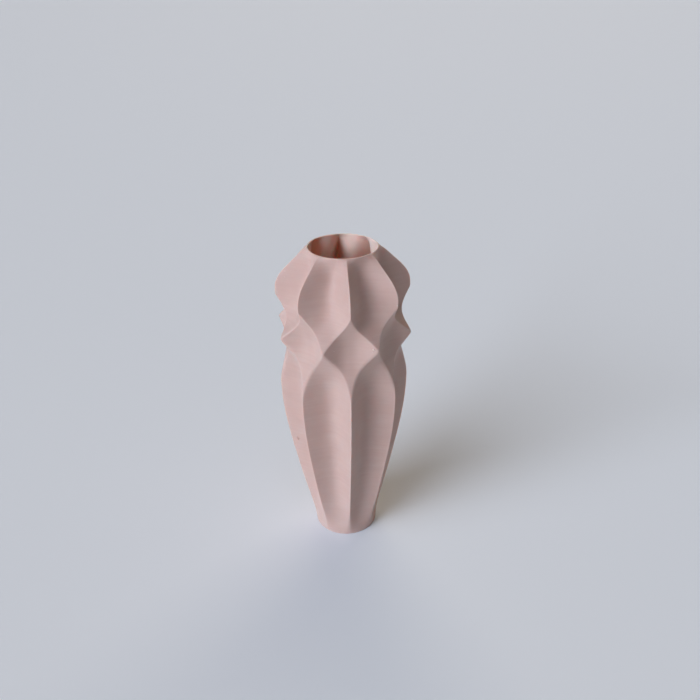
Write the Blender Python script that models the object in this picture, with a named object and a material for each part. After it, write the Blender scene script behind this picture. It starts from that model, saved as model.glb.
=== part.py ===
"""A fluted vase with a belt of diamond facets, 3-D printed in one piece.

The vase stands upright on the origin. Radii are measured from its upright axis and heights from its
foot, all in metres. Eight sharp ridges run up the lower wall and eight up the upper wall, with hollow
flutes between them. Where the two sets meet, a belt of eight diamonds lies between the flutes: each
has its lower tip on a lower ridge, its upper tip on the upper ridge above, and its two side points
halfway to the ridges beside it, where it touches its neighbours.
"""

import math

import bmesh
import bpy
import numpy as np

# Driving dimensions
HEIGHT = 0.250
FLUTES = 8
FOOT_RADIUS = 0.0255
MOUTH_RADIUS = 0.0263
LOWER_TIP_RADIUS = 0.0500
UPPER_TIP_RADIUS = 0.0505
SIDE_POINT_RADIUS = 0.0535
DIAMOND_HOLLOW = 0.0100  # how far the middle of a diamond lies inside the line between its tips
UPPER_WALL_HEIGHT = 0.0350  # from the diamonds' upper tips to the rim
DIAMOND_ABOVE_POINTS = 0.0275
DIAMOND_BELOW_POINTS = 0.0425
WALL = 0.0012
FLOOR = 0.0016

UPPER_TIP_HEIGHT = HEIGHT - UPPER_WALL_HEIGHT
SIDE_POINT_HEIGHT = UPPER_TIP_HEIGHT - DIAMOND_ABOVE_POINTS
LOWER_TIP_HEIGHT = SIDE_POINT_HEIGHT - DIAMOND_BELOW_POINTS

# How full each scooped surface is across its width: 1 is a straight-sided V, 2 a round hollow
FLUTE_FULLNESS = 2.12
DIAMOND_FULLNESS = 2.4
UPPER_EDGE_ROUNDING = 0.0006
LOWER_EDGE_ROUNDING = 0.0018
PAST_THE_POINTS = 3.0  # steep enough to take a flute out of play beyond the side points

# Profiles, each as (share of the way up it, share of its change of radius)
LOWER_RIDGE = ((0, 0), (0.04, 0.03), (0.25, 0.31), (0.47, 0.60), (0.70, 0.86), (0.88, 0.98), (1, 1))
LOWER_VALLEY = ((0, 0), (0.03, -0.02), (0.18, 0), (0.40, 0.145), (0.64, 0.30), (0.83, 0.41), (0.94, 0.72), (1, 1))
UPPER_RIDGE = ((0, 0), (0.25, 0.02), (0.55, 0.28), (0.78, 0.62), (0.92, 0.84), (1, 1))
UPPER_VALLEY = ((0, 0), (0.14, 0.31), (0.34, 0.63), (0.58, 0.79), (0.80, 1.00), (0.95, 1.00), (1, 1))
HOLLOW_ALONG_DIAMOND = ((0, 0), (0.30, 0.56), (0.61, 1), (0.80, 0.74), (1, 0))

# How finely the solid is divided
STEPS_TO_VALLEY = 5
LOWER_LEVELS = 9
UPPER_LEVELS = 7
HALVINGS = 30

BLUSH = (0.62, 0.43, 0.39, 1.0)
ROUGHNESS = 0.62


def smooth_curve(stations):
    """Return the natural cubic spline through the stations, carried on straight past both ends."""
    x, y = np.array(stations, dtype=float).T
    step = np.diff(x)
    slope = np.diff(y) / step
    bend = np.zeros(len(x))
    system = np.diag(2 * (step[:-1] + step[1:])) + np.diag(step[1:-1], 1) + np.diag(step[1:-1], -1)
    bend[1:-1] = np.linalg.solve(system, 6 * np.diff(slope))
    first_slope = slope[0] - step[0] * bend[1] / 6
    last_slope = slope[-1] + step[-1] * bend[-2] / 6

    def curve(at):
        inside = np.clip(at, x[0], x[-1])
        i = np.clip(np.searchsorted(x, inside) - 1, 0, len(step) - 1)
        left = inside - x[i]
        right = x[i + 1] - inside
        value = (bend[i] * right**3 + bend[i + 1] * left**3) / (6 * step[i])
        value = value + (y[i] / step[i] - bend[i] * step[i] / 6) * right
        value = value + (y[i + 1] / step[i] - bend[i + 1] * step[i] / 6) * left
        past = at - inside
        return value + np.where(past < 0, first_slope, last_slope) * past

    return curve


def profile(stations, low, high, first, last):
    """Return radius against height: a smooth curve from radius first at low to radius last at high."""
    curve = smooth_curve(stations)
    return lambda height: first + (last - first) * curve((height - low) / (high - low))


lower_ridge = profile(LOWER_RIDGE, 0, LOWER_TIP_HEIGHT, FOOT_RADIUS, LOWER_TIP_RADIUS)
lower_valley = profile(LOWER_VALLEY, 0, SIDE_POINT_HEIGHT, FOOT_RADIUS, SIDE_POINT_RADIUS)
upper_ridge = profile(UPPER_RIDGE, UPPER_TIP_HEIGHT, HEIGHT, UPPER_TIP_RADIUS, MOUTH_RADIUS)
upper_valley = profile(UPPER_VALLEY, SIDE_POINT_HEIGHT, HEIGHT, SIDE_POINT_RADIUS, MOUTH_RADIUS)
hollow = profile(HOLLOW_ALONG_DIAMOND, LOWER_TIP_HEIGHT, UPPER_TIP_HEIGHT, 0, DIAMOND_HOLLOW)


def tip_line(height):
    """Return the radius of the straight line between a diamond's two tips."""
    share = (height - LOWER_TIP_HEIGHT) / (UPPER_TIP_HEIGHT - LOWER_TIP_HEIGHT)
    return LOWER_TIP_RADIUS + (UPPER_TIP_RADIUS - LOWER_TIP_RADIUS) * share


def lower_flute(height, turn):
    """Return a lower flute's radius; turn is 0 on the ridge and 1 in the valley halfway to the next."""
    inner = np.minimum(lower_valley(np.minimum(height, SIDE_POINT_HEIGHT)), SIDE_POINT_RADIUS)
    scoop = inner + (lower_ridge(height) - inner) * (1 - turn) ** FLUTE_FULLNESS
    return scoop + PAST_THE_POINTS * np.maximum(height - SIDE_POINT_HEIGHT, 0)


def upper_flute(height, turn):
    """Return an upper flute's radius, with turn as for a lower flute."""
    inner = np.minimum(upper_valley(np.maximum(height, SIDE_POINT_HEIGHT)), SIDE_POINT_RADIUS)
    scoop = inner + (upper_ridge(height) - inner) * (1 - turn) ** FLUTE_FULLNESS
    return scoop + PAST_THE_POINTS * np.maximum(SIDE_POINT_HEIGHT - height, 0)


def diamond(height, turn):
    """Return a diamond's radius: hollow between its tips, and rising sideways to its side points."""
    across = turn**DIAMOND_FULLNESS
    rise = SIDE_POINT_RADIUS - tip_line(SIDE_POINT_HEIGHT)
    return tip_line(height) + rise * across - hollow(height) * (1 - across)


def rounded_least(first, second, rounding):
    """Return the lesser of two radii, eased where they cross so that the edge is slightly rounded."""
    ease = np.maximum(rounding - np.abs(first - second), 0) / rounding
    return np.minimum(first, second) - ease**2 * rounding / 4


def outer_radius(height, turn):
    """Return the outside's radius: whichever of the three scooped surfaces lies deepest."""
    above = rounded_least(upper_flute(height, turn), diamond(height, turn), UPPER_EDGE_ROUNDING)
    return rounded_least(above, lower_flute(height, turn), LOWER_EDGE_ROUNDING)


def edge_height(flute, turn, low, high):
    """Return the height, between low and high, at which a diamond's edge crosses the given turn."""
    sign = np.sign(flute(low, turn) - diamond(low, turn))
    for _ in range(HALVINGS):
        middle = (low + high) / 2
        if np.sign(flute(middle, turn) - diamond(middle, turn)) == sign:
            low = middle
        else:
            high = middle
    return middle


def levels():
    """Return the rows' heights: closer at foot and mouth, and set by the edges inside the belt."""
    quarter_turn = math.pi / 2
    lower = LOWER_TIP_HEIGHT * (1 - np.cos(quarter_turn * np.arange(LOWER_LEVELS + 1) / LOWER_LEVELS))
    upper_share = np.sin(quarter_turn * np.arange(UPPER_LEVELS + 1) / UPPER_LEVELS)
    upper = UPPER_TIP_HEIGHT + (HEIGHT - UPPER_TIP_HEIGHT) * upper_share
    turns = np.arange(1, STEPS_TO_VALLEY) / STEPS_TO_VALLEY
    rising = [edge_height(lower_flute, t, LOWER_TIP_HEIGHT, SIDE_POINT_HEIGHT) for t in turns]
    falling = [edge_height(upper_flute, t, UPPER_TIP_HEIGHT, SIDE_POINT_HEIGHT) for t in turns]
    return np.concatenate([lower, rising, [SIDE_POINT_HEIGHT], falling[::-1], upper])


def add_ring(bm, radii, height):
    """Add one level ring of vertices, the first of them on a ridge facing -Y."""
    angles = 2 * math.pi * np.arange(len(radii)) / len(radii) - math.pi / 2
    return [
        bm.verts.new((radius * math.cos(angle), radius * math.sin(angle), height))
        for radius, angle in zip(radii, angles)
    ]


def skin(bm, rings, heights, outward):
    """Join rings with triangles whose diagonals follow the diamonds' edges."""
    count = len(rings[0])
    for row in range(len(rings) - 1):
        above_points = heights[row] >= SIDE_POINT_HEIGHT
        for i in range(count):
            near, far = rings[row][i], rings[row][(i + 1) % count]
            far_up, near_up = rings[row + 1][(i + 1) % count], rings[row + 1][i]
            towards_valley = i % (2 * STEPS_TO_VALLEY) < STEPS_TO_VALLEY
            if towards_valley != above_points:
                triangles = ((near, far, far_up), (near, far_up, near_up))
            else:
                triangles = ((near, far, near_up), (far, far_up, near_up))
            for triangle in triangles:
                bm.faces.new(triangle if outward else triangle[::-1])


def vase_mesh():
    """Build the vase's closed mesh: outside, rim, inside and floor."""
    heights = levels()
    count = 2 * STEPS_TO_VALLEY * FLUTES
    steps = np.arange(count) % (2 * STEPS_TO_VALLEY)
    turn = np.minimum(steps, 2 * STEPS_TO_VALLEY - steps) / STEPS_TO_VALLEY
    inner_heights = heights.copy()
    inner_heights[0] = FLOOR

    bm = bmesh.new()
    outer_rings = []
    inner_rings = []
    for height, inner_height in zip(heights, inner_heights):
        outer_rings.append(add_ring(bm, outer_radius(height, turn), height))
        radii = outer_radius(inner_height, turn)
        beside = np.maximum(np.abs(radii - np.roll(radii, 1)), np.abs(radii - np.roll(radii, -1)))
        lean = beside / (radii * 2 * math.pi / count)
        inner_rings.append(add_ring(bm, radii - WALL * np.sqrt(1 + lean**2), inner_height))
    skin(bm, outer_rings, heights, outward=True)
    skin(bm, inner_rings, inner_heights, outward=False)
    skin(bm, [outer_rings[-1], inner_rings[-1]], [HEIGHT], outward=True)
    bm.faces.new(outer_rings[0][::-1])
    bm.faces.new(inner_rings[0])

    mesh = bpy.data.meshes.new("vase")
    bm.to_mesh(mesh)
    bm.free()
    mesh.shade_smooth()
    mesh.set_sharp_from_angle(angle=math.radians(30))
    return mesh


def filament():
    """Return the matte blush-coloured plastic."""
    material = bpy.data.materials.new("blush_plastic")
    material.use_nodes = True
    shader = material.node_tree.nodes["Principled BSDF"]
    shader.inputs["Base Color"].default_value = BLUSH
    shader.inputs["Roughness"].default_value = ROUGHNESS
    shader.inputs["Metallic"].default_value = 0.0
    return material


def main():
    """Clear the scene and model the vase."""
    for existing in list(bpy.data.objects):
        bpy.data.objects.remove(existing, do_unlink=True)
    vase = bpy.data.objects.new("vase", vase_mesh())
    vase.data.materials.append(filament())
    bpy.context.scene.collection.objects.link(vase)


main()
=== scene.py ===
"""The looks of a fluted vase, extruded in matte plastic in one piece, laid out as an add-on.

The vase stands on the origin with +Z up and one ridge facing -Y. All sizes are in metres. Its wall is
one surface of two parameters: the height, and the turn round the axis. The turn is counted from 0 on
a ridge to 1 in the valley halfway to the next ridge, and the vase repeats for each flute and mirrors
about each ridge and valley.
"""

import math

import bpy
import numpy as np
from mathutils import Matrix, Vector


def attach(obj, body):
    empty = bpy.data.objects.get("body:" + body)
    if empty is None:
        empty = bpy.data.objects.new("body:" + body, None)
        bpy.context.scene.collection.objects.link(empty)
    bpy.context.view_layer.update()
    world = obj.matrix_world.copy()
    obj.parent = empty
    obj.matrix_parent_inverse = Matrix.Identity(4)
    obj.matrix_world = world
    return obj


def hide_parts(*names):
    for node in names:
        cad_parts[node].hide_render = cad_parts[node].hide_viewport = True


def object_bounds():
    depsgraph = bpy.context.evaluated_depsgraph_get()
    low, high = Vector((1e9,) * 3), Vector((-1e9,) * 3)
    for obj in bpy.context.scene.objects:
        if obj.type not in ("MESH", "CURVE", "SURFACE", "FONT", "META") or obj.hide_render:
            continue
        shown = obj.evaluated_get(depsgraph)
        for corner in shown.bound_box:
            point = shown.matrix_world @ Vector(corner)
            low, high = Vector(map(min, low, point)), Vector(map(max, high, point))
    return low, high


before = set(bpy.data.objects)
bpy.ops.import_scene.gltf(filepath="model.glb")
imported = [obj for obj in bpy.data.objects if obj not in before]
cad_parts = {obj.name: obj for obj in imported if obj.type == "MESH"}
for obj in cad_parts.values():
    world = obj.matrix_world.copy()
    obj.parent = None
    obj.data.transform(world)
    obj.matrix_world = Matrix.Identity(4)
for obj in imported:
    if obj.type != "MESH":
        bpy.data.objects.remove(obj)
CAD_LOW, CAD_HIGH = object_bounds()
NODE = "vase"

bl_info = {
    "name": "Fluted Printed Vase",
    "version": (1, 0, 0),
    "blender": (4, 5, 0),
    "location": "3D View > Sidebar > Vase",
    "description": "Builds a fluted vase with a belt of diamond facets in matte extruded plastic",
    "category": "Add Mesh",
}

UP = np.array([0, 0, 1])

# Profiles, each as (share of the way up it, share of its change of radius)
LOWER_RIDGE = ((0, 0), (0.04, 0.03), (0.25, 0.31), (0.47, 0.60), (0.70, 0.86), (0.88, 0.98), (1, 1))
LOWER_VALLEY = (
    (0, 0), (0.03, -0.02), (0.18, 0), (0.40, 0.145), (0.64, 0.30), (0.83, 0.41), (0.94, 0.72), (1, 1)
)
UPPER_RIDGE = ((0, 0), (0.25, 0.02), (0.55, 0.28), (0.78, 0.62), (0.92, 0.84), (1, 1))
UPPER_VALLEY = ((0, 0), (0.14, 0.31), (0.34, 0.63), (0.58, 0.79), (0.80, 1.00), (0.95, 1.00), (1, 1))
HOLLOW_ALONG_DIAMOND = ((0, 0), (0.30, 0.56), (0.61, 1), (0.80, 0.74), (1, 0))

# Cross-sections: a power above 2 keeps ridges and side points narrow, and what lies between them wide
FLUTE_FULLNESS = 2.12
DIAMOND_FULLNESS = 2.4

# Rounding of the edges where two scooped surfaces meet, and of the side points
UPPER_EDGE_ROUNDING = 0.0006
LOWER_EDGE_ROUNDING = 0.0018
POINT_ROUNDING = 0.0030

# Near the foot the ridges are rounded off: by how much, as a turn, and up to about which height
FOOT_SOFTNESS = 0.3
FOOT_SOFT_HEIGHT = 0.016
PAST_THE_POINTS = 3.0  # steep enough to take a flute out of play beyond the side points

# How finely the wall is divided
STEPS_TO_VALLEY = 24
RIDGE_CROWDING = 1.25  # above 1 the columns crowd towards the ridges
LOWER_LEVELS = 48
UPPER_LEVELS = 30
INNER_THINNING = 2  # the inside has one level for every two outside
EDGE_STEPS = 4
HALVINGS = 30

# Small marks that printing left on the outside, each in degrees round from the ridge that faces -Y, its
# height on the vase, and its own width, height and how far it stands proud
PRINT_BEADS = (
    (19.75, 0.1888, 0.0023, 0.0016, 0.0009),
    (19.2, 0.1862, 0.0007, 0.0006, 0.0004),
    (-14.5, 0.1873, 0.0007, 0.0006, 0.0004),
    (44.6, 0.2165, 0.0009, 0.0015, 0.0004),
    (-89.8, 0.1418, 0.0012, 0.0008, 0.0004),
    (-88.5, 0.2330, 0.0008, 0.0006, 0.0003),
    (-87.0, 0.2290, 0.0006, 0.0005, 0.0003),
    (-89.5, 0.2265, 0.0007, 0.0005, 0.0003),
)
BEAD_STEPS = 10

# A wisp of stray plastic that curls off the wall
WISP_DEGREES = -85.5
WISP_HEIGHT = 0.0855
WISP_RADIUS = 0.0011
WISP_TURN = math.radians(230)
WISP_LIFT = 0.0020
WISP_THICKNESS = 0.0008
WISP_STEPS = 24
WISP_SIDES = 8

# Plastic
PLA_IOR = 1.46
SCATTER_REACH = 0.0015
SCATTER_SHARES = (1.0, 0.6, 0.5)  # red light goes furthest through the plastic
STREAK_LENGTH = 0.040
STREAK_HEIGHT = 0.002
MOTTLES_PER_METRE = 65.0  # each about 15 mm across
GRAINS_PER_METRE = 2500.0  # each 0.4 mm across
WAVE_LENGTH = math.pi / 10  # the height of one band of a wave texture of scale 1
PLAIN_SHARE = 0.65  # the rest of the colour is the streaks'
MOTTLE_SHARE = 0.25
MOTTLE_SPAN = (0.35, 0.65)
ROUGHNESS_SPAN = (0.52, 0.68)
LINE_DEPTH = 0.00002
STREAK_DEPTH = 0.00014
GRAIN_DEPTH = 0.00001
# Painted highlight: a pale line painted along the ridges and the diamonds' edges, RIDGE_WIDTH wide
RIDGE_WIDTH = 0.0009
RIDGE_PAINTED_HIGHLIGHT = 0.25

# Sockets of a Mix node that mixes colours: its factor, its two colours and its result
MIX_SHARE, MIX_FROM, MIX_TO, MIXED = 0, 6, 7, 2

# Stage. Each light: degrees round from -Y towards +X, degrees up, degrees wide, strength, colour
LIGHTS = {
    "window": (-55.0, 16.0, 40.0, 2.05, "#EBF1FF"),
    "window_top": (-55.0, 44.0, 40.0, 1.00, "#EBF1FF"),
    "sky": (-30.0, 70.0, 40.0, 0.34, "#E6EEFF"),
    "room_back": (165.0, 30.0, 60.0, 1.25, "#FFF0DC"),
    "side_fill": (110.0, 30.0, 50.0, 0.10, "#FFE9CC"),
}
ROOM_SEEN = "#DDE1E9"
ROOM_GLOW = "#322D28"
FLOOR_SIZE = 60.0
BOARD_ROUGHNESS = 0.85
NEAREST_SEEN = 0.01


def linear(hex_colour):
    """Turn an sRGB hex colour into linear red, green and blue."""
    channels = [int(hex_colour[i : i + 2], 16) / 255 for i in (1, 3, 5)]
    return [c / 12.92 if c <= 0.04045 else ((c + 0.055) / 1.055) ** 2.4 for c in channels]


def length(name, description, default):
    """Return a property for a length."""
    return bpy.props.FloatProperty(
        name=name, description=description, default=default, min=0.0, unit="LENGTH", precision=4
    )


def angle_of(name, description, degrees):
    """Return a property for an angle given in degrees."""
    return bpy.props.FloatProperty(
        name=name, description=description, default=math.radians(degrees), subtype="ANGLE"
    )


def colour(name, description, default):
    """Return a property for a colour given as sRGB hex."""
    return bpy.props.FloatVectorProperty(
        name=name,
        description=description,
        default=linear(default),
        size=3,
        min=0.0,
        max=1.0,
        subtype="COLOR",
    )


class VaseShape(bpy.types.PropertyGroup):
    """Sizes of the vase"""

    height: length("Height", "From the foot to the rim", CAD_HIGH.z - CAD_LOW.z)
    foot_radius: length("Foot radius", "Radius of the round foot", 0.0255)
    mouth_radius: length("Mouth radius", "Outer radius of the round rim", 0.0263)
    lower_tip_radius: length("Lower tip radius", "Radius at the diamonds' lower tips", 0.0500)
    upper_tip_radius: length("Upper tip radius", "Radius at the diamonds' upper tips", 0.0505)
    side_point_radius: length("Side point radius", "Radius where two diamonds meet", 0.0535)
    diamond_hollow: length("Diamond hollow", "How far a diamond's middle lies inside its tips", 0.0100)
    upper_wall: length("Upper wall", "From the diamonds' upper tips to the rim", 0.0350)
    diamond_above: length("Diamond above", "From the side points to the upper tips", 0.0275)
    diamond_below: length("Diamond below", "From the lower tips to the side points", 0.0425)
    wall: length("Wall", "Thickness of the wall, measured level", 0.0012)
    floor: length("Floor", "Thickness of the floor", 0.0016)
    edge: length("Edge rounding", "Rounding of the rim and of the foot's edge", 0.0005)
    flutes: bpy.props.IntProperty(
        name="Flutes", description="How many flutes go round", default=8, min=3, max=24
    )


class VaseFinish(bpy.types.PropertyGroup):
    """Colours and line pitch of the plastic"""

    plastic: colour("Plastic", "Colour of the filament", "#D1B3A8")
    # This pale colour is also painted along the ridges and edges as a painted highlight
    pale: colour("Pale streaks", "Colour of the paler levels and ridges", "#E4D2C9")
    deep: colour("Deep streaks", "Colour of the deeper levels", "#C5A298")
    # Painted glow: the inner wall gets this paler colour in place of the light that comes through the wall
    painted_glow: colour("Inner wall", "Colour of the inner wall, which light from outside brightens", "#F2DDD2")
    layer: length("Line pitch", "Height of one visible print line", 0.0008)


class VaseStage(bpy.types.PropertyGroup):
    """Floor and camera"""

    floor_colour: colour("Floor", "Colour of the floor", "#E8EEF4")
    lens: bpy.props.FloatProperty(
        name="Lens", description="Focal length in mm for a 36 mm sensor", default=38.94, min=1.0
    )
    distance: length("Distance", "From the vase's axis to the camera, measured level", 0.5167)
    eye_height: length("Eye height", "Height of the camera above the floor", 0.4450)
    azimuth: angle_of("Azimuth", "Turn of the camera round the vase", -5.47)
    heading: angle_of("Heading", "How far the camera looks to the vase's right", 0.52)
    pitch: angle_of("Pitch", "How far the camera looks down", 28.53)
    roll: angle_of("Roll", "Turn of the camera about its own view line", 0.60)


def smooth_curve(stations):
    """Return the natural cubic spline through the stations, carried on straight past both ends.

    Between two stations the value is a cubic whose second derivative runs straight from one station's
    bend to the next one's. The bends make the slopes match, and are zero at both ends.
    """
    x, y = np.array(stations, dtype=float).T
    step = np.diff(x)
    slope = np.diff(y) / step
    bend = np.zeros(len(x))
    system = np.diag(2 * (step[:-1] + step[1:])) + np.diag(step[1:-1], 1) + np.diag(step[1:-1], -1)
    bend[1:-1] = np.linalg.solve(system, 6 * np.diff(slope))
    first_slope = slope[0] - step[0] * bend[1] / 6
    last_slope = slope[-1] + step[-1] * bend[-2] / 6

    def curve(at):
        inside = np.clip(at, x[0], x[-1])
        i = np.clip(np.searchsorted(x, inside) - 1, 0, len(step) - 1)
        left = inside - x[i]
        right = x[i + 1] - inside
        value = (bend[i] * right**3 + bend[i + 1] * left**3) / (6 * step[i])
        value = value + (y[i] / step[i] - bend[i] * step[i] / 6) * right
        value = value + (y[i + 1] / step[i] - bend[i + 1] * step[i] / 6) * left
        past = at - inside
        return value + np.where(past < 0, first_slope, last_slope) * past

    return curve


def profile(stations, low, high, first, last):
    """Return radius against height: a smooth curve from radius first at low to radius last at high."""
    curve = smooth_curve(stations)
    return lambda height: first + (last - first) * curve((height - low) / (high - low))


def rounded_least(first, second, rounding):
    """Return the lesser of two radii, eased where they cross so that the edge is slightly rounded.

    Within the rounding of the crossing, a quarter of the rounding times the square of the closeness
    (1 at the crossing, 0 at the rounding's reach) is taken off the lesser one.
    """
    ease = np.maximum(rounding - np.abs(first - second), 0) / rounding
    return np.minimum(first, second) - ease**2 * rounding / 4


class Wall:
    """The vase's wall as radius against height and turn."""

    def __init__(self, shape):
        self.shape = shape
        self.upper_tip = shape.height - shape.upper_wall
        self.side_point = self.upper_tip - shape.diamond_above
        self.lower_tip = self.side_point - shape.diamond_below
        foot, mouth, point = shape.foot_radius, shape.mouth_radius, shape.side_point_radius
        self.lower_ridge = profile(LOWER_RIDGE, 0, self.lower_tip, foot, shape.lower_tip_radius)
        self.lower_valley = profile(LOWER_VALLEY, 0, self.side_point, foot, point)
        self.upper_ridge = profile(UPPER_RIDGE, self.upper_tip, shape.height, shape.upper_tip_radius, mouth)
        self.upper_valley = profile(UPPER_VALLEY, self.side_point, shape.height, point, mouth)
        self.hollow = profile(HOLLOW_ALONG_DIAMOND, self.lower_tip, self.upper_tip, 0, shape.diamond_hollow)

    def tip_line(self, height):
        """Radius of the straight line between a diamond's two tips."""
        share = (height - self.lower_tip) / (self.upper_tip - self.lower_tip)
        low, high = self.shape.lower_tip_radius, self.shape.upper_tip_radius
        return low + (high - low) * share

    def lower_flute(self, height, turn):
        """Valley radius, plus the ridge's lead over it times (1 - turn) to the flute's fullness.

        Near the foot the turn is first bent into a hyperbola, which rounds the ridge off.
        """
        point = self.shape.side_point_radius
        inner = np.minimum(self.lower_valley(np.minimum(height, self.side_point)), point)
        softness = FOOT_SOFTNESS * np.exp(-((height / FOOT_SOFT_HEIGHT) ** 2))
        turn = (np.hypot(turn, softness) - softness) / (np.hypot(1, softness) - softness)
        scoop = inner + (self.lower_ridge(height) - inner) * (1 - turn) ** FLUTE_FULLNESS
        return scoop + PAST_THE_POINTS * np.maximum(height - self.side_point, 0)

    def upper_flute(self, height, turn):
        """The same above the side points, from the upper valley and the upper ridge, all crisp."""
        point = self.shape.side_point_radius
        inner = np.minimum(self.upper_valley(np.maximum(height, self.side_point)), point)
        scoop = inner + (self.upper_ridge(height) - inner) * (1 - turn) ** FLUTE_FULLNESS
        return scoop + PAST_THE_POINTS * np.maximum(self.side_point - height, 0)

    def diamond(self, height, turn):
        """Line between the tips, less the hollow in the middle, plus the rise to the side points."""
        across = turn**DIAMOND_FULLNESS
        rise = self.shape.side_point_radius - self.tip_line(self.side_point)
        return self.tip_line(height) + rise * across - self.hollow(height) * (1 - across)

    def outer(self, height, turn):
        """Whichever of the three scooped surfaces lies deepest, eased where they cross.

        It is eased once more against the side points' radius, which rounds the points off.
        """
        upper, diamond = self.upper_flute(height, turn), self.diamond(height, turn)
        above = rounded_least(upper, diamond, UPPER_EDGE_ROUNDING)
        wall = rounded_least(above, self.lower_flute(height, turn), LOWER_EDGE_ROUNDING)
        return rounded_least(wall, self.shape.side_point_radius, POINT_ROUNDING)

    def edge_heights(self, flute, turns, low, high):
        """Heights at which a diamond's edge crosses each turn, found by halving the span between."""
        low = np.full(len(turns), float(low))
        high = np.full(len(turns), float(high))
        start = np.sign(flute(low, turns) - self.diamond(low, turns))
        for _ in range(HALVINGS):
            middle = (low + high) / 2
            same = np.sign(flute(middle, turns) - self.diamond(middle, turns)) == start
            low = np.where(same, middle, low)
            high = np.where(same, high, middle)
        return (low + high) / 2

    def levels(self):
        """Row heights: even steps bent to lie closer at foot and mouth, and in the belt the edges' heights.

        Below the belt they rise with 1 - cosine of a quarter turn's even steps, and above it with the sine.
        """
        quarter_turn = math.pi / 2
        lower = self.lower_tip * (1 - np.cos(quarter_turn * np.linspace(0, 1, LOWER_LEVELS + 1)))
        upper_share = np.sin(quarter_turn * np.linspace(0, 1, UPPER_LEVELS + 1))
        upper = self.upper_tip + (self.shape.height - self.upper_tip) * upper_share
        turns = columns()[1:-1]
        rising = self.edge_heights(self.lower_flute, turns, self.lower_tip, self.side_point)
        falling = self.edge_heights(self.upper_flute, turns, self.upper_tip, self.side_point)
        return lower, rising, falling[::-1], upper


def columns():
    """Turns of the columns from a ridge to a valley: even steps to the power of RIDGE_CROWDING."""
    return np.linspace(0, 1, STEPS_TO_VALLEY + 1) ** RIDGE_CROWDING


def round_the_vase(flutes):
    """Return each column's angle and its turn, all the way round from the ridge that faces -Y."""
    half = columns()
    one_flute = np.concatenate([half[:-1], (2 - half)[:0:-1]])
    position = (one_flute[None, :] + 2 * np.arange(flutes)[:, None]).ravel()
    turn = np.tile(np.minimum(one_flute, 2 - one_flute), flutes)
    return position * math.pi / flutes - math.pi / 2, turn


def level_thickness(radius, angle, wall):
    """Wall measured along the radius, so that it is even across.

    It is the wall times the square root of 1 plus the square of the outline's slope, which is the
    change of radius with angle over the radius, on whichever side it is steeper.
    """
    step = np.diff(np.append(angle, angle[0] + 2 * math.pi))
    ahead = np.abs(np.roll(radius, -1, axis=1) - radius) / step
    behind = np.roll(ahead, 1, axis=1)
    return wall * np.sqrt(1 + (np.maximum(ahead, behind) / radius) ** 2)


def closed_faces(rings, count, along_edges=None):
    """Return the triangles that join rings of points, and close each end on a pole.

    The points are numbered ring by ring, then the first ring's pole and the last ring's. along_edges says,
    for each cell between two rings, whether its diagonal runs up with the count.
    """
    if along_edges is None:
        along_edges = np.ones((rings - 1, count), dtype=bool)
    near = np.arange(rings * count).reshape(rings, count)
    far = np.roll(near, -1, axis=1)
    a, b, c, d = near[:-1], far[:-1], far[1:], near[1:]
    first = np.where(along_edges[..., None], np.stack([a, b, c], -1), np.stack([a, b, d], -1))
    second = np.where(along_edges[..., None], np.stack([a, c, d], -1), np.stack([b, c, d], -1))
    start_fan = np.stack([np.full(count, rings * count), far[0], near[0]], -1)
    end_fan = np.stack([near[-1], far[-1], np.full(count, rings * count + 1)], -1)
    return np.concatenate([first.reshape(-1, 3), second.reshape(-1, 3), start_fan, end_fan])


def smooth_mesh(name, points, faces):
    """Return a mesh of these points and faces, shaded smooth."""
    mesh = bpy.data.meshes.new(name)
    mesh.from_pydata(points, [], faces)
    mesh.shade_smooth()
    return mesh


def point_attribute(mesh, name, values):
    """Store one number for each point of the mesh, for its material to read."""
    mesh.attributes.new(name, "FLOAT", "POINT").data.foreach_set("value", np.ravel(values))


def heights_between_edges(wall):
    """Return the outside's levels going up and the inside's going down, clear of the rounded edges."""
    lower, rising, falling, upper = wall.levels()
    shape = wall.shape
    outside = np.concatenate([lower, rising, [wall.side_point], falling, upper])
    outside = outside[(outside > shape.edge) & (outside < shape.height - shape.edge)]
    # Thinned from the belt outwards, so that the levels of the diamonds' tips stay in
    thinned_lower = lower[::-INNER_THINNING][::-1]
    thinned_belt = [rising[1::INNER_THINNING], [wall.side_point], falling[::INNER_THINNING]]
    inside = np.concatenate([thinned_lower, *thinned_belt, upper[::INNER_THINNING]])
    inside = inside[(inside > shape.floor + shape.edge) & (inside < shape.height - shape.edge)]
    return outside, inside[::-1]


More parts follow.
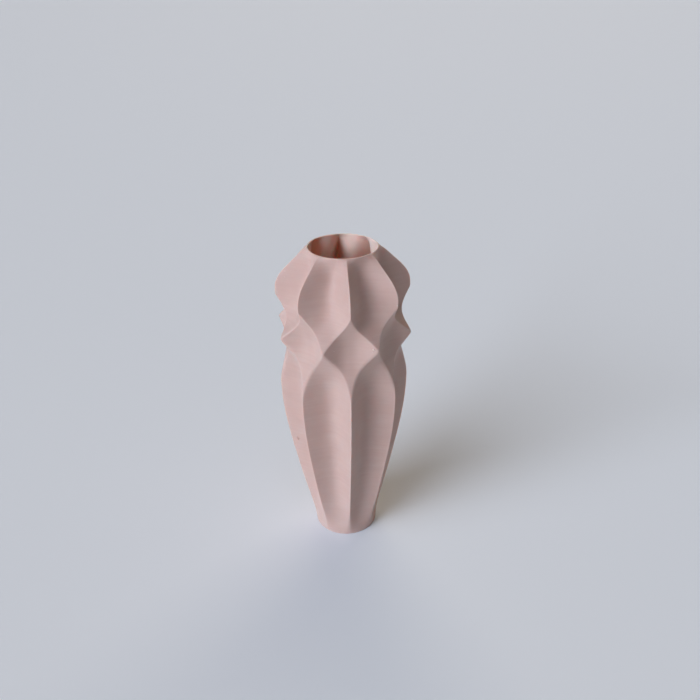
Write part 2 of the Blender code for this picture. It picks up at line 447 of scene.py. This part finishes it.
def vase_mesh(shape):
    """Carry the wall round: up the outside, over the rounded rim, down the inside and across the floor.

    Each row is a level ring of points. At the foot and the rim the rows follow quarter circles as large as
    the edge rounding: they are drawn in from the outer wall, and out from the inner one, by the rounding
    times 1 - sine or 1 - cosine. Below, a short slope joins the inner wall and the floor.
    """
    wall = Wall(shape)
    angle, turn = round_the_vase(shape.flutes)
    outside, inside = heights_between_edges(wall)
    edge = shape.edge
    quarter = np.linspace(0, math.pi / 2, EDGE_STEPS + 1)
    foot_height = edge * (1 - np.cos(quarter))
    foot_inset = edge * (1 - np.sin(quarter))
    rim_height = shape.height - edge * (1 - np.sin(quarter))
    rim_inset = edge * (1 - np.cos(quarter))

    going_up = np.concatenate([foot_height, outside, rim_height])
    outer_inset = np.concatenate([foot_inset, 0 * outside, rim_inset])
    outer_height = going_up[:, None] + 0 * turn
    outer_radius = wall.outer(outer_height, turn) - outer_inset[:, None]

    going_down = np.concatenate([rim_height[::-1], inside, [shape.floor + edge, shape.floor]])
    inner_outset = np.concatenate([rim_inset[::-1], 0 * inside, [0, -edge]])
    inner_height = going_down[:, None] + 0 * turn
    over_inner = wall.outer(inner_height, turn)
    inner_radius = over_inner - level_thickness(over_inner, angle, shape.wall) + inner_outset[:, None]

    radius = np.concatenate([outer_radius, inner_radius])
    height = np.concatenate([outer_height, inner_height])
    towards_valley = np.diff(np.append(turn, turn[0])) > 0
    above_points = (height[:-1, 0] + height[1:, 0]) / 2 > wall.side_point
    downwards = height[1:, 0] < height[:-1, 0]
    along_edges = (towards_valley[None, :] != above_points[:, None]) != downwards[:, None]

    points = np.stack([radius * np.cos(angle), radius * np.sin(angle), height], axis=-1).reshape(-1, 3)
    poles = [[0, 0, height[0, 0]], [0, 0, height[-1, 0]]]
    mesh = smooth_mesh(NODE, np.concatenate([points, poles]), closed_faces(*radius.shape, along_edges))
    # Painted highlight: the points near a ridge or an edge are marked to be painted paler
    ridge_highlight_and_bead_paleness = RIDGE_PAINTED_HIGHLIGHT * ridge_nearness(wall, radius, height, turn)
    point_attribute(mesh, "ridge_highlight_and_bead_paleness", np.append(ridge_highlight_and_bead_paleness, [0, 0]))
    # Marks the inner wall, which is painted paler as a painted glow
    is_inside = np.repeat([0.0, 1.0], [outer_radius.size, inner_radius.size])
    point_attribute(mesh, "inside", np.append(is_inside, [0, 1]))
    return mesh


def ridge_nearness(wall, radius, height, turn):
    """1 on a ridge or a diamond's edge, falling to 0 at RIDGE_WIDTH from it.

    Ridges are at turn 0 outside the belt. On an edge, two of the three scooped surfaces are level, so
    the gap between the two deepest ones measures the distance from it. This sets the painted highlight.
    """
    surfaces = [wall.upper_flute(height, turn), wall.diamond(height, turn), wall.lower_flute(height, turn)]
    deepest_first = np.sort(np.stack(surfaces), axis=0)
    from_edge = deepest_first[1] - deepest_first[0]
    from_ridge = turn * radius * math.pi / wall.shape.flutes
    in_belt = (height > wall.lower_tip) & (height < wall.upper_tip)
    gap = np.where(in_belt, from_edge, from_ridge)
    return np.clip(1 - gap / RIDGE_WIDTH, 0, 1).ravel()


def spot_on(wall, degrees, height):
    """Return a point of the wall, and the directions outward from the axis and sideways round it there."""
    flute_angle = 360 / wall.shape.flutes
    turn = abs((degrees + flute_angle / 2) % flute_angle - flute_angle / 2) / (flute_angle / 2)
    angle = math.radians(degrees) - math.pi / 2
    outward = np.array([math.cos(angle), math.sin(angle), 0])
    sideways = np.array([-math.sin(angle), math.cos(angle), 0])
    return outward * float(wall.outer(height, turn)) + UP * height, outward, sideways


def beads_mesh(wall):
    """Domes on the wall: each a ball squashed to its width, its height and how far it stands proud."""
    count = 2 * BEAD_STEPS
    around = np.linspace(0, 2 * math.pi, count, endpoint=False)
    up_from_pole = np.linspace(-math.pi / 2, math.pi / 2, BEAD_STEPS + 1)[1:-1, None]
    level = np.sin(up_from_pole) + 0 * around
    width = np.cos(up_from_pole)
    ball = np.stack([width * np.cos(around), width * np.sin(around), level], -1)
    ball = np.concatenate([ball.reshape(-1, 3), [-UP, UP]])
    points = []
    for degrees, height, wide, tall, proud in PRINT_BEADS:
        place, outward, sideways = spot_on(wall, degrees, height)
        points.append(place + ball @ np.stack([outward * proud, sideways * wide / 2, UP * tall / 2]))
    offsets = np.arange(len(points))[:, None, None] * len(ball)
    faces = (closed_faces(BEAD_STEPS - 1, count)[None] + offsets).reshape(-1, 3)
    mesh = smooth_mesh("print_beads", np.concatenate(points), faces)
    point_attribute(mesh, "ridge_highlight_and_bead_paleness", np.ones(len(mesh.vertices)))
    return mesh


def wisp_mesh(wall):
    """A wisp of stray plastic: a circle carried along an arc that curls up and away from the wall.

    The arc turns through WISP_TURN at WISP_RADIUS in the wall's plane, and moves outward evenly until it
    is WISP_LIFT away. The circle shrinks to half towards the far end.
    """
    place, outward, sideways = spot_on(wall, WISP_DEGREES, WISP_HEIGHT)
    share = np.linspace(0, 1, WISP_STEPS)[:, None]
    curl = share * WISP_TURN
    arc = WISP_RADIUS * (sideways * np.sin(curl) + UP * (1 - np.cos(curl)))
    path = place + arc + outward * WISP_LIFT * share
    along = np.gradient(path, axis=0)
    along /= np.linalg.norm(along, axis=1)[:, None]
    across = np.cross(along, outward)
    across /= np.linalg.norm(across, axis=1)[:, None]
    away = np.cross(along, across)
    around = np.linspace(0, 2 * math.pi, WISP_SIDES, endpoint=False)[None, :, None]
    thickness = (WISP_THICKNESS / 2 * (1 - share / 2))[:, None]
    rings = path[:, None] + thickness * (across[:, None] * np.cos(around) + away[:, None] * np.sin(around))
    points = np.concatenate([rings.reshape(-1, 3), path[[0, -1]]])
    return smooth_mesh("print_wisp", points, closed_faces(WISP_STEPS, WISP_SIDES))


def add_node(tree, kind, inputs=None, **settings):
    """Add a node, set its settings, and give each named input a value or a link."""
    node = tree.nodes.new(kind)
    for name, value in settings.items():
        setattr(node, name, value)
    for socket, value in (inputs or {}).items():
        if isinstance(value, bpy.types.NodeSocket):
            tree.links.new(value, node.inputs[socket])
        else:
            node.inputs[socket].default_value = value
    return node


def opaque(rgb):
    """Return the colour with full alpha, as colour sockets take it."""
    return (*rgb, 1.0)


def extruded_matte_pla(finish):
    """Matte PLA, extruded in level lines.

    Its level lines scatter the light, so it has no clear highlight. It looks soft and chalky, with
    faint level streaks where the lines lie a little unevenly. Along the ridges and the diamonds' edges
    a pale line is painted, a painted highlight for the light that the thin wall lets through there.
    The inner wall is painted paler, a painted glow for the light that comes through the wall.
    """
    material = bpy.data.materials.new("extruded_matte_pla")
    material.use_nodes = True
    tree = material.node_tree
    shader = tree.nodes["Principled BSDF"]
    shader.inputs["Metallic"].default_value = 0.0
    shader.inputs["IOR"].default_value = PLA_IOR
    shader.inputs["Subsurface Weight"].default_value = 1.0
    shader.inputs["Subsurface Radius"].default_value = SCATTER_SHARES
    shader.inputs["Subsurface Scale"].default_value = SCATTER_REACH
    place = add_node(tree, "ShaderNodeTexCoord").outputs["Object"]

    # Streaks, where groups of lines lie a little differently
    stretch = (1 / STREAK_LENGTH, 1 / STREAK_LENGTH, 1 / STREAK_HEIGHT)
    streak_place = add_node(tree, "ShaderNodeMapping", {"Vector": place, "Scale": stretch}).outputs["Vector"]
    streaks = add_node(
        tree,
        "ShaderNodeTexNoise",
        {"Vector": streak_place, "Scale": 1.0, "Detail": 3.0, "Roughness": 0.6},
    ).outputs["Fac"]
    mottling = add_node(
        tree, "ShaderNodeTexNoise", {"Vector": place, "Scale": MOTTLES_PER_METRE, "Detail": 2.0}
    ).outputs["Fac"]
    grain = add_node(
        tree, "ShaderNodeTexNoise", {"Vector": place, "Scale": GRAINS_PER_METRE, "Detail": 1.0}
    ).outputs["Fac"]
    # Real lines are 0.2 mm high, too fine to show, so one is drawn for every four
    lines = add_node(
        tree,
        "ShaderNodeTexWave",
        {
            "Vector": place,
            "Scale": WAVE_LENGTH / finish.layer,
            "Distortion": 0.4,
            "Detail": 1.0,
            "Detail Scale": 0.2,
        },
        wave_type="BANDS",
        bands_direction="Z",
        wave_profile="SIN",
    ).outputs["Fac"]

    # Colour: plain plastic with some of the streaks, deeper patches, a painted highlight on the ridges and a
    # painted glow on the inside
    streaked = add_node(
        tree,
        "ShaderNodeMix",
        {MIX_SHARE: streaks, MIX_FROM: opaque(finish.deep), MIX_TO: opaque(finish.pale)},
        data_type="RGBA",
    ).outputs[MIXED]
    calm = add_node(
        tree,
        "ShaderNodeMix",
        {MIX_SHARE: PLAIN_SHARE, MIX_FROM: streaked, MIX_TO: opaque(finish.plastic)},
        data_type="RGBA",
    ).outputs[MIXED]
    lowest, highest = MOTTLE_SPAN
    patches = add_node(
        tree,
        "ShaderNodeMapRange",
        {"Value": mottling, "From Min": lowest, "From Max": highest, "To Max": MOTTLE_SHARE},
    ).outputs["Result"]
    mottled = add_node(
        tree,
        "ShaderNodeMix",
        {MIX_SHARE: patches, MIX_FROM: calm, MIX_TO: opaque(finish.deep)},
        data_type="RGBA",
    ).outputs[MIXED]
    # Painted highlight: the ridges and the diamonds' edges are mixed towards the pale colour, and the beads
    # wholly
    ridge_highlight_and_bead_paleness = add_node(tree, "ShaderNodeAttribute", attribute_name="ridge_highlight_and_bead_paleness").outputs["Fac"]
    with_painted_highlight = add_node(
        tree,
        "ShaderNodeMix",
        {MIX_SHARE: ridge_highlight_and_bead_paleness, MIX_FROM: mottled, MIX_TO: opaque(finish.pale)},
        data_type="RGBA",
    ).outputs[MIXED]
    # Painted glow: the inner wall is mixed towards a paler colour in place of the light that comes through
    # the wall
    inside = add_node(tree, "ShaderNodeAttribute", attribute_name="inside").outputs["Fac"]
    painted_glow = add_node(
        tree,
        "ShaderNodeMix",
        {MIX_SHARE: inside, MIX_FROM: with_painted_highlight, MIX_TO: opaque(finish.painted_glow)},
        data_type="RGBA",
    ).outputs[MIXED]
    tree.links.new(painted_glow, shader.inputs["Base Color"])

    smoothest, roughest = ROUGHNESS_SPAN
    gloss = add_node(
        tree, "ShaderNodeMapRange", {"Value": streaks, "To Min": smoothest, "To Max": roughest}
    ).outputs["Result"]
    tree.links.new(gloss, shader.inputs["Roughness"])

    # Relief: each pattern lies on the one before
    relief = {}
    for height, depth in ((lines, LINE_DEPTH), (streaks, STREAK_DEPTH), (grain, GRAIN_DEPTH)):
        bump = add_node(
            tree, "ShaderNodeBump", {"Height": height, "Distance": depth, "Strength": 1.0, **relief}
        )
        relief = {"Normal": bump.outputs["Normal"]}
    tree.links.new(relief["Normal"], shader.inputs["Normal"])
    return material


def painted_board(stage):
    """Matt painted board: an even, pale, slightly cool surface without a clear reflection."""
    material = bpy.data.materials.new("painted_board")
    material.use_nodes = True
    shader = material.node_tree.nodes["Principled BSDF"]
    shader.inputs["Base Color"].default_value = opaque(stage.floor_colour)
    shader.inputs["Roughness"].default_value = BOARD_ROUGHNESS
    return material


def show(name, mesh, material):
    """Put a mesh into the scene with a material, and return its object."""
    mesh.materials.append(material)
    piece = bpy.data.objects.new(name, mesh)
    bpy.context.scene.collection.objects.link(piece)
    return piece


def plastic_for(scene):
    """Return the vase's plastic, made once."""
    return bpy.data.materials.get("extruded_matte_pla") or extruded_matte_pla(scene.vase_finish)


class VASE_OT_body(bpy.types.Operator):
    """Build the vase: its fluted wall, diamonds, rim, inside and floor"""

    bl_idname = "vase.body"
    bl_label = "Build Vase"

    def execute(self, context):
        scene = context.scene
        piece = show("vase_wall", vase_mesh(scene.vase_shape), plastic_for(scene))
        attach(piece, "root")
        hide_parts(NODE)
        return {"FINISHED"}


class VASE_OT_marks(bpy.types.Operator):
    """Add the small beads and the wisp of plastic that printing leaves on the wall"""

    bl_idname = "vase.marks"
    bl_label = "Add Print Marks"

    def execute(self, context):
        scene = context.scene
        wall = Wall(scene.vase_shape)
        for name, mesh in (("print_beads", beads_mesh(wall)), ("print_wisp", wisp_mesh(wall))):
            piece = show(name, mesh, plastic_for(scene))
            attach(piece, "root")
        return {"FINISHED"}


class VASE_OT_stage(bpy.types.Operator):
    """Set out the pale floor, the soft lights and the camera"""

    bl_idname = "vase.stage"
    bl_label = "Set Out Stage"

    def execute(self, context):
        scene = context.scene
        stage = scene.vase_stage
        half = FLOOR_SIZE / 2
        corners = [(-half, -half, 0), (half, -half, 0), (half, half, 0), (-half, half, 0)]
        mesh = bpy.data.meshes.new("floor")
        mesh.from_pydata(corners, [], [(0, 1, 2, 3)])
        show("floor", mesh, painted_board(stage))
        for name, light in LIGHTS.items():
            self.add_light(scene, name, *light)
        self.add_room(scene)
        self.add_camera(scene, stage)
        scene.view_settings.view_transform = "Standard"
        return {"FINISHED"}

    def add_light(self, scene, name, around, up, wide, strength, tint):
        """Add a distant soft light, as wide as the angle it fills in the sky."""
        data = bpy.data.lights.new(name, "SUN")
        data.angle = math.radians(wide)
        data.energy = strength
        data.color = linear(tint)
        light = bpy.data.objects.new(name, data)
        around, up = math.radians(around), math.radians(up)
        level = math.cos(up)
        back = Vector((math.sin(around) * level, -math.cos(around) * level, math.sin(up)))
        light.rotation_mode = "QUATERNION"
        light.rotation_quaternion = back.to_track_quat("Z", "Y")
        scene.collection.objects.link(light)

    def add_room(self, scene):
        """Surround the stage with a room that looks pale, and lights it only with a faint warm glow."""
        world = bpy.data.worlds.new("soft_room")
        world.use_nodes = True
        tree = world.node_tree
        seen = add_node(tree, "ShaderNodeLightPath").outputs["Is Camera Ray"]
        room = add_node(
            tree,
            "ShaderNodeMix",
            {MIX_SHARE: seen, MIX_FROM: opaque(linear(ROOM_GLOW)), MIX_TO: opaque(linear(ROOM_SEEN))},
            data_type="RGBA",
        ).outputs[MIXED]
        tree.links.new(room, tree.nodes["Background"].inputs["Color"])
        scene.world = world

    def add_camera(self, scene, stage):
        """Stand the camera off the vase and look down at it."""
        data = bpy.data.cameras.new("camera")
        data.lens = stage.lens
        data.clip_start = NEAREST_SEEN
        camera = bpy.data.objects.new("camera", data)
        camera.location = (
            math.sin(stage.azimuth) * stage.distance,
            -math.cos(stage.azimuth) * stage.distance,
            stage.eye_height,
        )
        turned = Matrix.Rotation(stage.azimuth - stage.heading, 3, "Z")
        tipped = Matrix.Rotation(math.pi / 2 - stage.pitch, 3, "X")
        rolled = Matrix.Rotation(-stage.roll, 3, "Z")
        camera.rotation_mode = "QUATERNION"
        camera.rotation_quaternion = (turned @ tipped @ rolled).to_quaternion()
        scene.collection.objects.link(camera)
        scene.camera = camera


class VASE_PT_panel(bpy.types.Panel):
    """Sizes, finish and stage of the vase"""

    bl_label = "Fluted Vase"
    bl_idname = "VASE_PT_panel"
    bl_space_type = "VIEW_3D"
    bl_region_type = "UI"
    bl_category = "Vase"

    def draw(self, context):
        layout = self.layout
        for group in (context.scene.vase_shape, context.scene.vase_finish, context.scene.vase_stage):
            box = layout.box()
            for name in group.__annotations__:
                box.prop(group, name)
        for operator in STEPS:
            layout.operator(operator.bl_idname)


STEPS = (VASE_OT_body, VASE_OT_marks, VASE_OT_stage)
GROUPS = {"vase_shape": VaseShape, "vase_finish": VaseFinish, "vase_stage": VaseStage}


def register():
    """Register the property groups, operators and panel."""
    for name, group in GROUPS.items():
        bpy.utils.register_class(group)
        setattr(bpy.types.Scene, name, bpy.props.PointerProperty(type=group))
    for step in STEPS:
        bpy.utils.register_class(step)
    bpy.utils.register_class(VASE_PT_panel)


def unregister():
    """Undo register."""
    bpy.utils.unregister_class(VASE_PT_panel)
    for step in reversed(STEPS):
        bpy.utils.unregister_class(step)
    for name, group in GROUPS.items():
        delattr(bpy.types.Scene, name)
        bpy.utils.unregister_class(group)


def main():
    """Build everything."""
    register()
    bpy.ops.vase.body()
    bpy.ops.vase.marks()
    bpy.ops.vase.stage()


if __name__ == "__main__":
    main()
